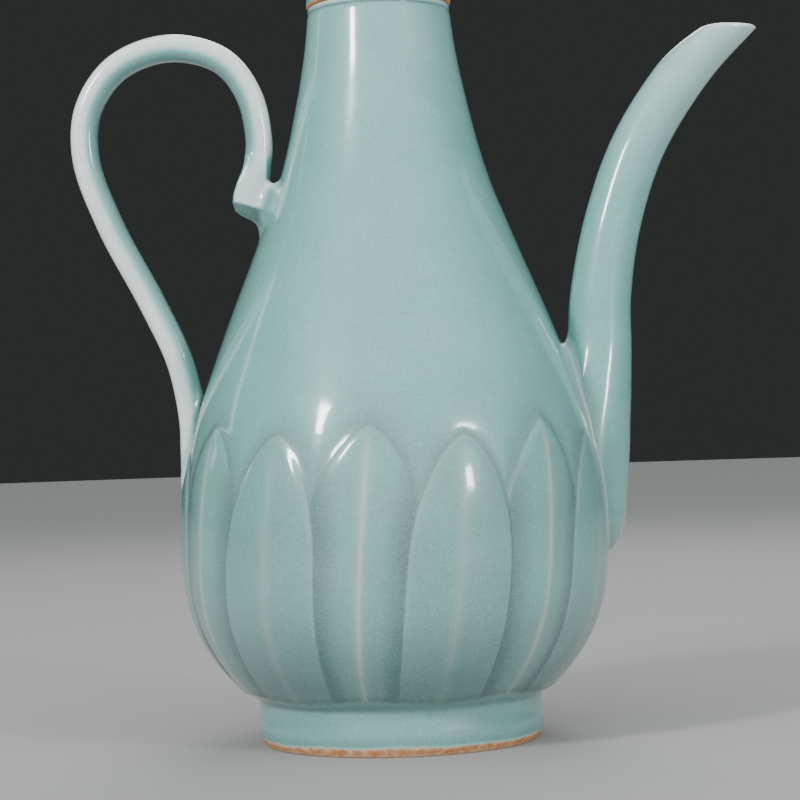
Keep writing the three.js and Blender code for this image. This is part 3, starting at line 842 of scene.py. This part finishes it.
heel = {
    "outline": [(-44.9, 193), (-45.5, 190.5), (-46.6, 188), (-48.2, 184.6), (-49.5, 181), (-49.95, 177.8),
                (-49.2, 175.2), (-47.4, 173.8), (-44.6, 172.4), (-42.4, 170.9), (-40.5, 168), (-34, 166),
                (-30, 170), (-30, 180.6), (-34.5, 182.2), (-36.5, 183.1), (-38, 185.1), (-38, 193)],
    "breadth": 10.9, "edge": 1.2, "taper": 0.07, "taperFrom": 186,
    "lowerEdge": (-47.6, 177.4), "lowerSlope": -0.31, "undercut": 0.75,  # its sides lean in below this line
    "fillet": 4.8, "gapFillet": 1.9, "sideFillet": 4, "rodFillet": 1.6, "sunk": 0.06,
    "rodStart": (187, 196), "rodShrink": 0.3, "rodFade": 0.12,
    # the third and last depths on the next line are painted shade, on the underside and on the sides facing
    # the neck
    "depth": 0.40, "sideThin": 0.26, "underShade": 0.42, "bridgePool": 0.12, "gapThin": 0.34, "gapShade": 0.30,
    "low": (-53, -19, 154), "high": (-22, 19, 206), "step": 0.55,
}


def blend(a, b, reach):
    # The nearer of two distances, with a fillet where they meet
    near = np.clip(1 - np.abs(a - b) / reach, 0, 1)
    return np.minimum(a, b) - near ** 2 * reach / 4


rodLine = catmullRom(handle["line"], np.linspace(0, 0.3, 90))  # the rod near its heel


def rodDistance(points):
    # How far points in mm lie outside the rod, near its heel
    ahead = unit(np.gradient(rodLine, axis=0))
    flat = points[..., [0, 2]]
    best = np.full(flat.shape[:-1], 1e9)
    across = np.zeros_like(best)
    for place, way in zip(rodLine, ahead):
        offset = flat - place
        distance = (offset ** 2).sum(-1)
        closer = distance < best
        best = np.where(closer, distance, best)
        across = np.where(closer, offset[..., 0] * way[1] - offset[..., 1] * way[0], across)
    beyond = np.maximum(rodLine[0, 1] - flat[..., 1], 0)
    power = 2 / handle["squareness"]
    halfT, halfB = handle["thickness"] / 2, handle["breadth"] / 2
    share = (np.abs(across / halfT) ** power + np.abs(points[..., 1] / halfB) ** power) ** (1 / power)
    return np.hypot(np.maximum((share - 1) * halfT, 0), beyond) + np.minimum((share - 1) * halfT, 0)


def outlineDistance(flat, corners):
    # How far places lie outside a closed outline in their own plane
    corners = np.array(corners, float)
    nearest = np.full(flat.shape[:-1], 1e9)
    inside = np.zeros(flat.shape[:-1], bool)
    for start, end in zip(corners, np.roll(corners, -1, axis=0)):
        nearest = np.minimum(nearest, segmentDistance(flat, start, end))
        crosses = (start[1] > flat[..., 1]) != (end[1] > flat[..., 1])
        run, rise = end - start
        inside ^= crosses & (flat[..., 0] < start[0] + run * (flat[..., 1] - start[1]) / (rise or 1e-9))
    return np.where(inside, -nearest, nearest)


def heelDistance(points):
    x, y, z = np.moveaxis(points, -1, 0)
    edge = heel["edge"]
    flat = outlineDistance(points[..., [0, 2]], heel["outline"]) + edge
    edgeX, edgeZ = heel["lowerEdge"]
    below = edgeZ + heel["lowerSlope"] * (x - edgeX) - z
    side = np.abs(y) - heel["breadth"] / 2 + edge + heel["undercut"] * np.clip(below, 0, 6)
    side += heel["taper"] * np.maximum(z - heel["taperFrom"], 0)
    slab = np.hypot(np.maximum(flat, 0), np.maximum(side, 0)) + np.minimum(np.maximum(flat, side), 0) - edge
    rod = rodDistance(points) - heel["sunk"] + heel["rodShrink"] * smooth((z - 195) / 7)
    rod += heel["rodFade"] * np.maximum(heel["rodStart"][0] - z, 0)
    return blend(slab, rod, heel["rodFillet"])


def heelForm(points):
    # The heel and the neck beside it with a fillet between them, and the heel alone
    _, y, z = np.moveaxis(points, -1, 0)
    alone = heelDistance(points)
    reach = mix(heel["gapFillet"], heel["fillet"], smooth((184 - z) / 5))
    reach = reach + heel["sideFillet"] * smooth((np.abs(y) - 2.5) / 3.5) * smooth((190 - z) / 8)
    return blend(alone, bodyDistance(points) + heel["sunk"], reach), alone, reach


def surfaceOf(field, low, step):
    # Points and faces where a sampled field crosses zero, one point for each cell that it crosses
    cells = tuple(n - 1 for n in field.shape)
    total = np.zeros((*cells, 3))
    count = np.zeros(cells)
    crossings = []
    for axis in range(3):
        start = np.moveaxis(field, axis, 0)[:-1]
        end = np.moveaxis(field, axis, 0)[1:]
        crossed = (start < 0) != (end < 0)
        share = np.where(crossed, start / np.where(crossed, start - end, 1), 0)
        crossings.append((crossed, start < 0))
        second, third = (k for k in range(3) if k != axis)
        for i in (0, 1):
            for j in (0, 1):
                window = np.s_[:, i:i + cells[second], j:j + cells[third]]
                hit = np.moveaxis(crossed[window], 0, axis)
                total[..., axis] += np.moveaxis(share[window], 0, axis)
                total[..., second] += hit * i
                total[..., third] += hit * j
                count += hit
    used = count > 0
    names = np.full(cells, -1)
    names[used] = np.arange(used.sum())
    places = (np.argwhere(used) + total[used] / count[used][:, None]) * step + low
    faces = []
    for axis, (crossed, isInside) in enumerate(crossings):
        order = np.moveaxis(names, axis, 0)
        inner = crossed[:, 1:-1, 1:-1]
        around = [order[:, :-1, :-1], order[:, 1:, :-1], order[:, 1:, 1:], order[:, :-1, 1:]]
        quads = np.stack([ring[inner] for ring in around], axis=1)
        turned = isInside[:, 1:-1, 1:-1][inner] == (axis == 1)
        quads[turned] = quads[turned][:, ::-1]
        faces.append(quads)
    return places, np.concatenate(faces)


def makeHeel():
    low, high = np.array(heel["low"], float), np.array(heel["high"], float)
    axes = [np.arange(a, b, heel["step"]) for a, b in zip(low, high)]
    places = np.stack(np.meshgrid(*axes, indexing="ij"), axis=-1)
    points, faces = surfaceOf(heelForm(places)[0], low, heel["step"])
    for _ in range(3):
        value = heelForm(points)[0]
        slope = np.stack([(heelForm(points + shift)[0] - heelForm(points - shift)[0]) / 0.2
                          for shift in np.eye(3) * 0.1], axis=-1)
        points = points - value[:, None] * slope / np.maximum((slope ** 2).sum(-1, keepdims=True), 0.2)
    _, alone, reach = heelForm(points)
    isNear = (alone < 0.92 * reach) & (points[:, 2] < 203)
    faces = faces[isNear[faces].all(axis=1)]
    used = np.unique(faces)
    renamed = np.full(len(points), -1)
    renamed[used] = np.arange(len(used))
    points, alone, reach = points[used], alone[used], reach[used]
    slope = unit(slope[used])

    bridge = np.clip(1 - np.abs(alone - bodyDistance(points)) / reach, 0, 1)
    facing = smooth((np.abs(slope[:, 1]) - 0.75) / 0.2)
    depth = heel["depth"] - heel["sideThin"] * facing + heel["bridgePool"] * bridge * (1 - facing)
    # painted shade on the heel's underside
    depth += heel["underShade"] * smooth((-slope[:, 2] - 0.15) / 0.4)
    depth -= heel["gapThin"] * bridge * smooth((points[:, 2] - 180) / 3)
    # painted shade on the sides that face the neck across the gap
    depth += heel["gapShade"] * smooth((slope[:, 0] - 0.4) / 0.4) * (1 - bridge)
    # the rod's glaze, with its painted shade on the inside of the loop, carries on over the heel
    across = points[:, 0] - np.interp(points[:, 2], rodLine[:, 1], rodLine[:, 0])
    asRod = rodGlazeAndShade(across / (handle["thickness"] / 2), points[:, 1] / (handle["breadth"] / 2))
    low, high = heel["rodStart"]
    depth = mix(depth, asRod, smooth((points[:, 2] - low) / (high - low)))
    return linkMesh("heelBlock", points, renamed[faces].tolist(), celadonGlaze, {"glazeDepth": depth})


heelBlock = makeHeel()
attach(heelBlock, "pot")
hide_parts("handle_heel")
print("handle bent and luted")


# Lid

lid = {
    "clearance": 0.6, "skirtRadius": 23.9, "skirtHeight": 15, "taper": 1.4, "shoulder": 1.5,
    "domeHeight": 8.5, "domeWall": 3.6, "headroom": 1.4, "depth": 0.42, "edgeDepth": 0.2, "columns": 160,
    "knobBase": 5.2, "knobStem": 3.8, "knobRadius": 6.6, "knobHeight": 15, "knobColumns": 96,
}


def turnedPiece(name, profile, material, columns, **attributes):
    turn = fullTurn(columns)
    profile = np.array(profile, float)
    grid = ringGrid(profile[:, None, 0], turn, profile[:, None, 1])
    wide = {key: np.broadcast_to(value[:, None], grid.shape[:2]) for key, value in attributes.items()}
    return makePiece(name, grid, material, capped=True, **wide)


def makeLid():
    inner = body["collarRadius"] + lid["clearance"]
    top = seatTop + lid["skirtHeight"]
    skirt = lid["skirtRadius"]
    dome = skirt - lid["taper"] - lid["shoulder"]
    ceiling = collarTop + lid["headroom"]
    lidTop = top + lid["domeHeight"]
    rise = lidTop - lid["domeWall"] - ceiling
    outside = [(inner + 0.4, seatTop), (skirt - 1.0, seatTop), (skirt - 0.3, seatTop + 0.3),
               (skirt, seatTop + 1.1), (skirt - lid["taper"] / 2, seatTop + 7),
               (skirt - lid["taper"], top - lid["shoulder"])]
    for angle in np.linspace(0, math.pi / 2, 14):
        outside.append((lid["knobBase"] + (dome - lid["knobBase"]) * math.cos(angle),
                        top + lid["domeHeight"] * math.sin(angle)))
    outside = catmullRom(outside, np.linspace(0, 1, 90))
    inside = [(inner, ceiling - lid["shoulder"])]
    inside += [((inner - lid["shoulder"]) * math.cos(a), ceiling + rise * math.sin(a))
               for a in np.linspace(0, math.pi / 2 * 0.96, 12)]
    profile = np.vstack([[(0.8, lidTop - lid["domeWall"] + 0.1)], inside[::-1], [(inner, seatTop + 0.6)],
                         outside, [(0.8, lidTop)]])
    bare = (profile[:, 1] < seatTop + 0.9).astype(float)
    outsideStart = len(inside) + 2
    depth = np.full(len(profile), lid["depth"])
    depth[outsideStart:outsideStart + 12] = lid["edgeDepth"]
    return turnedPiece("lidCap", profile, lidGlaze, lid["columns"], bareClay=bare, glazeDepth=depth), lidTop


lidCap, lidTop = makeLid()
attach(lidCap, "lid")
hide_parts("lid_cap")


def makeKnob():
    height = lid["knobHeight"]
    base, stem, radius = lid["knobBase"], lid["knobStem"], lid["knobRadius"]
    profile = catmullRom([
        (base + 0.6, -0.4), (base - 0.3, 0.4), (stem, height * 0.14), (stem + 0.3, height * 0.2),
        (radius, height * 0.46), (radius * 0.84, height * 0.68), (radius * 0.36, height * 0.9),
        (0.3, height - 0.1),
    ], np.linspace(0, 1, 60))
    depth = np.interp(profile[:, 1], [0, 1.5, 3, 7, height], [0.7, 0.7, 0.5, 0.35, 0.15])
    profile[:, 1] += lidTop
    return turnedPiece("lidKnob", profile, lidGlaze, lid["knobColumns"], glazeDepth=depth)


lidKnob = makeKnob()
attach(lidKnob, "lid")
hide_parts("lid_knob")
print("lid and bud made")


# Floor, light and camera

studio = {
    "floorColour": (0.36, 0.357, 0.353), "floorRoughness": 0.7, "floorRadius": 6.0,  # in metres
    "world": (0.95, 1.0, 1.0), "dim": 0.03, "bright": 1.45,  # behind the ewer, and from above in front
    "brightWay": (0.02, -0.68, 0.73), "aim": (0, 0, 0.12),
    "lights": {
        "keyBox": {"place": (-0.954, -1.06, 0.85), "size": (0.18, 0.3), "power": 18},
        "sideBox": {"place": (1.02, -1.12, 0.5), "size": (0.16, 0.3), "power": 10},
        "backBox": {"place": (-1.3, 0.5, 0.8), "size": (0.08, 1.0), "power": 0.8},
        "overBox": {"place": (0.2, 0.95, 1.15), "size": (0.9, 0.9), "power": 8},
    },
}
view = {"distance": 731, "height": 99, "side": 2.9, "pitch": 0.96, "roll": -1.9, "lens": 99.7}


def makeFloor():
    material = bpy.data.materials.new("floorPaper")
    material.use_nodes = True
    tree = material.node_tree
    shader = tree.nodes["Principled BSDF"]
    place = addNode(tree, "ShaderNodeTexCoord").outputs["Object"]
    noise = noiseNode(tree, place, 35.0, 3.0)
    lighter = tuple(c * 1.03 for c in studio["floorColour"])
    tint = mixColours(tree, noise, rgba(studio["floorColour"]), rgba(lighter))
    tree.links.new(tint, shader.inputs["Base Color"])
    shader.inputs["Roughness"].default_value = studio["floorRoughness"]
    bpy.ops.mesh.primitive_circle_add(vertices=128, radius=studio["floorRadius"], fill_type="NGON")
    floor = bpy.context.object
    floor.name = "floor"
    floor.data.materials.append(material)


def makeLights():
    world = bpy.data.worlds.new("studio")
    bpy.context.scene.world = world
    world.use_nodes = True
    tree = world.node_tree
    background = tree.nodes["Background"]
    background.inputs["Color"].default_value = rgba(studio["world"])
    direction = addNode(tree, "ShaderNodeTexCoord").outputs["Generated"]
    facing = addNode(tree, "ShaderNodeVectorMath", {"operation": "DOT_PRODUCT"},
                     i0=direction, i1=studio["brightWay"])
    strength = addNode(tree, "ShaderNodeMapRange", {"interpolation_type": "SMOOTHSTEP"},
                       i0=facing.outputs["Value"], i1=0.15, i2=1.0, i3=studio["dim"], i4=studio["bright"])
    tree.links.new(strength.outputs[0], background.inputs["Strength"])
    aim = Vector(studio["aim"])
    for name, values in studio["lights"].items():
        light = bpy.data.lights.new(name, "AREA")
        light.shape = "RECTANGLE"
        light.size, light.size_y = values["size"]
        light.energy = values["power"]
        lamp = bpy.data.objects.new(name, light)
        lamp.location = values["place"]
        lamp.rotation_euler = (aim - lamp.location).to_track_quat("-Z", "Y").to_euler()
        bpy.context.scene.collection.objects.link(lamp)


def makeCamera():
    camera = bpy.data.cameras.new("camera")
    camera.lens = view["lens"]
    camera.sensor_width = 36
    holder = bpy.data.objects.new("camera", camera)
    holder.location = ((axisX + view["side"]) * mm, -view["distance"] * mm, view["height"] * mm)
    level = Euler((math.radians(90 + view["pitch"]), 0, 0)).to_matrix()
    holder.rotation_euler = (level @ Matrix.Rotation(math.radians(view["roll"]), 3, "Z")).to_euler()
    bpy.context.scene.collection.objects.link(holder)
    bpy.context.scene.camera = holder


makeFloor()
makeLights()
makeCamera()
print("studio set")
